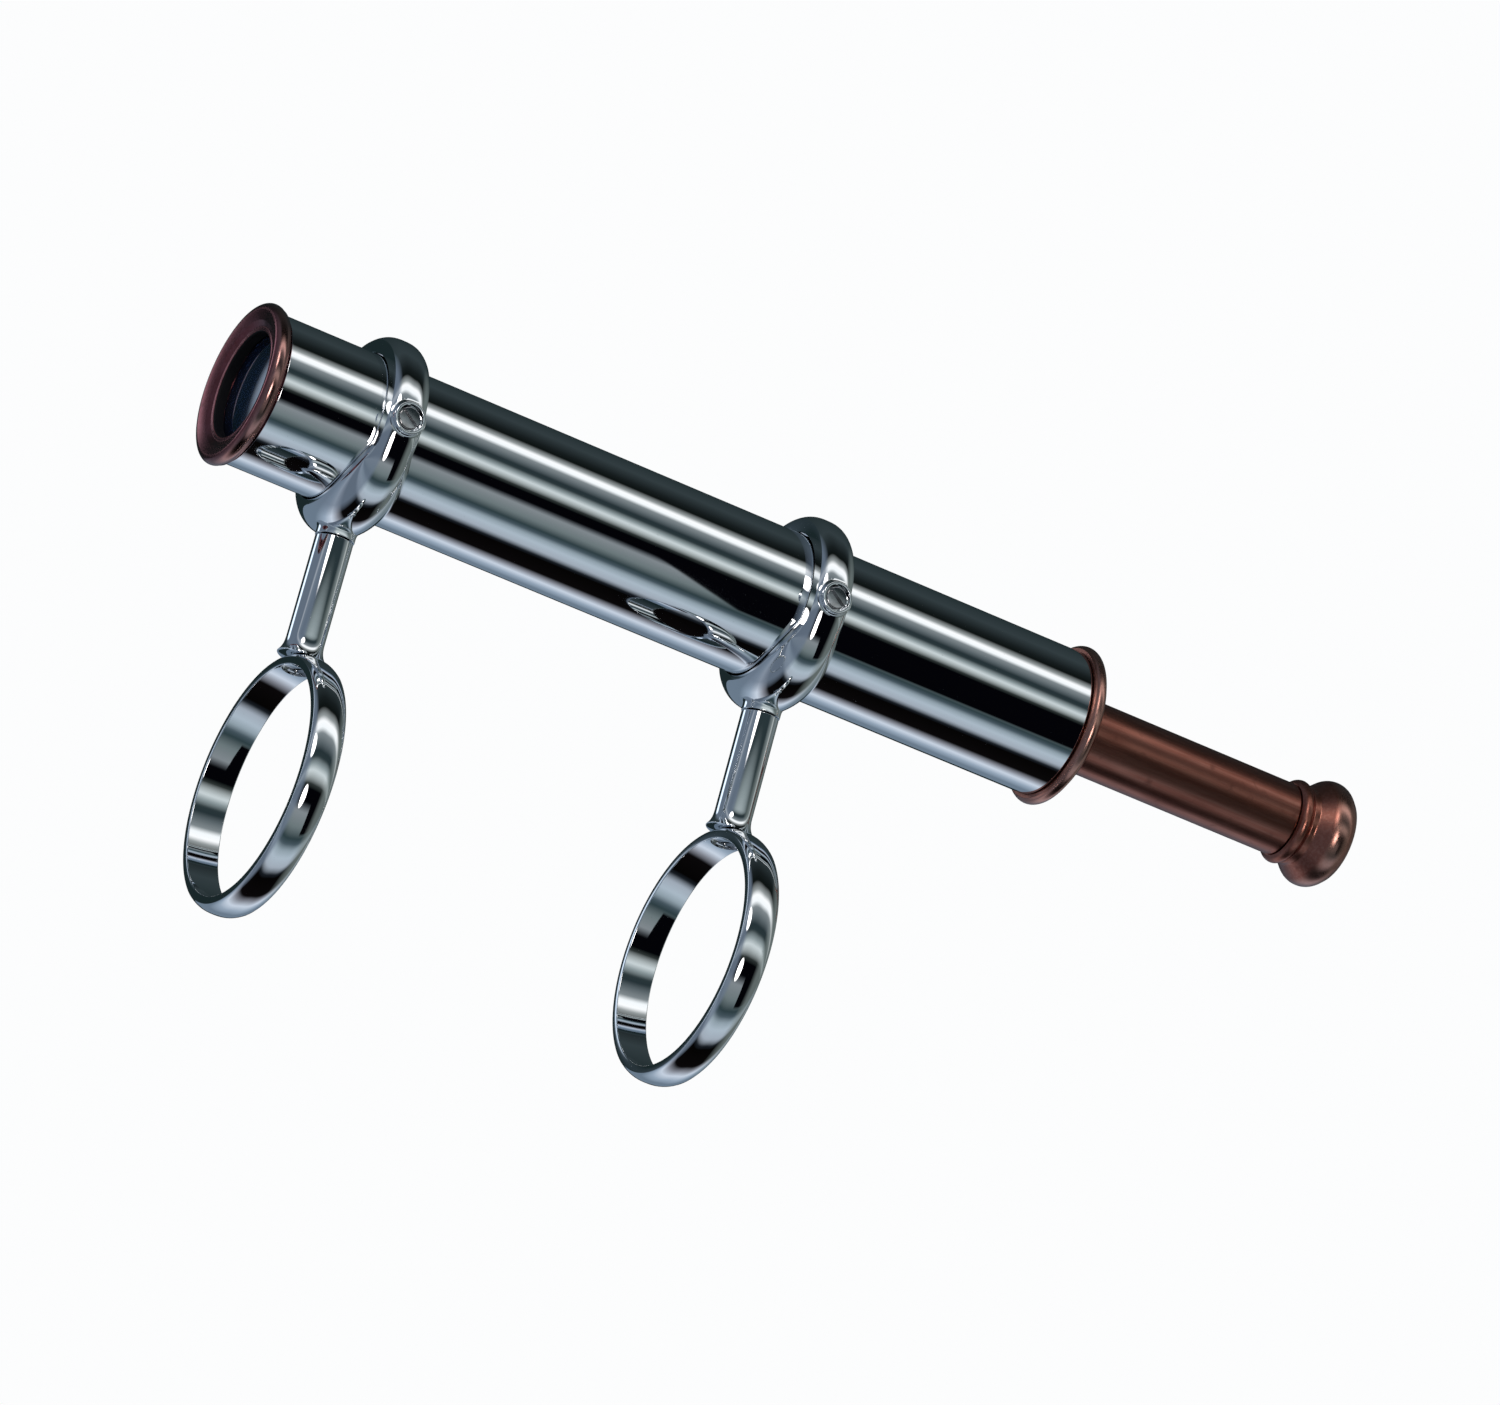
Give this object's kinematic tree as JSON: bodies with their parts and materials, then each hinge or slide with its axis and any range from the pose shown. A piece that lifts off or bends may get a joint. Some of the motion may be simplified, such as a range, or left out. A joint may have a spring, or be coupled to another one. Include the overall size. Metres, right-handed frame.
{
  "type": "finder scope",
  "caption": "Small refracting finder scope in post brackets: chrome tube, copper objective cell and rear cap, sliding draw tube with flanged eyepiece, ring clamps with side screws.",
  "frame": {"origin": "on the axis of the main telescope's tube, midway between the two bands that go round it", "axes": "+X along the finder's optical axis from objective to eyepiece, +Z from the main tube's axis up to the finder's axis, -Y the side of the clamp screws"},
  "size_m": [0.2802, 0.0576, 0.1299],
  "materials": {
    "chrome": "mirror polished",
    "antique_copper": "dark satin antique copper",
    "steel": "bright machined",
    "brass": "machined",
    "black_anodised": "matt black anodised",
    "nylon": "natural",
    "coated_glass": "blue coated"
  },
  "bodies": {
    "bracket": {"front_band": "chrome", "front_post": "chrome", "front_ring": "chrome", "front_band_screw": "steel", "front_ring_screw": "steel", "front_clamp_pad": "nylon", "rear_band": "chrome", "rear_post": "chrome", "rear_ring": "chrome", "rear_band_screw": "steel", "rear_ring_screw": "steel", "rear_clamp_pad": "nylon"},
    "front_clamp": {"front_clamp_screw": "steel"},
    "rear_clamp": {"rear_clamp_screw": "steel"},
    "scope": {"body_tube": "chrome", "front_light_stop": "black_anodised", "rear_light_stop": "black_anodised", "rear_end_cap": "antique_copper", "draw_guide_bush": "brass"},
    "objective": {"objective_cell": "antique_copper", "objective_crown_lens": "coated_glass", "objective_spacer": "black_anodised", "objective_flint_lens": "coated_glass", "objective_retaining_ring": "black_anodised"},
    "draw": {"draw_tube": "antique_copper", "draw_stop_collar": "brass"},
    "eyepiece": {"eyepiece_cap": "antique_copper", "eyepiece_barrel": "brass", "reticle_ring": "brass", "crosswires": "steel", "reticle_spacer": "black_anodised", "field_lens": "coated_glass", "eyepiece_lens_spacer": "black_anodised", "eye_lens": "coated_glass", "eye_lens_retaining_ring": "black_anodised"}
  },
  "joints": [
    {"name": "scope_slide", "type": "slide", "parent": "bracket", "child": "scope", "axis": [1, 0, 0], "range_m": [-0.055, 0.015]},
    {"name": "draw_slide", "type": "slide", "parent": "scope", "child": "draw", "axis": [1, 0, 0], "range_m": [-0.052, 0.012]},
    {"name": "eyepiece_turn", "type": "hinge", "parent": "draw", "child": "eyepiece", "pos_m": [0.18625, 0, 0.0795], "axis": [1, 0, 0], "range_deg": [0, 450]},
    {"name": "objective_turn", "type": "hinge", "parent": "scope", "child": "objective", "pos_m": [-0.08235, 0, 0.0795], "axis": [-1, 0, 0], "range_deg": [0, 450]},
    {"name": "front_clamp_turn", "type": "hinge", "parent": "bracket", "child": "front_clamp", "pos_m": [-0.0529, 0, 0.0795], "axis": [0, -1, 0], "range_deg": [0, 270]},
    {"name": "rear_clamp_turn", "type": "hinge", "parent": "bracket", "child": "rear_clamp", "pos_m": [0.0529, 0, 0.0795], "axis": [0, -1, 0], "range_deg": [0, 270]}
  ]
}
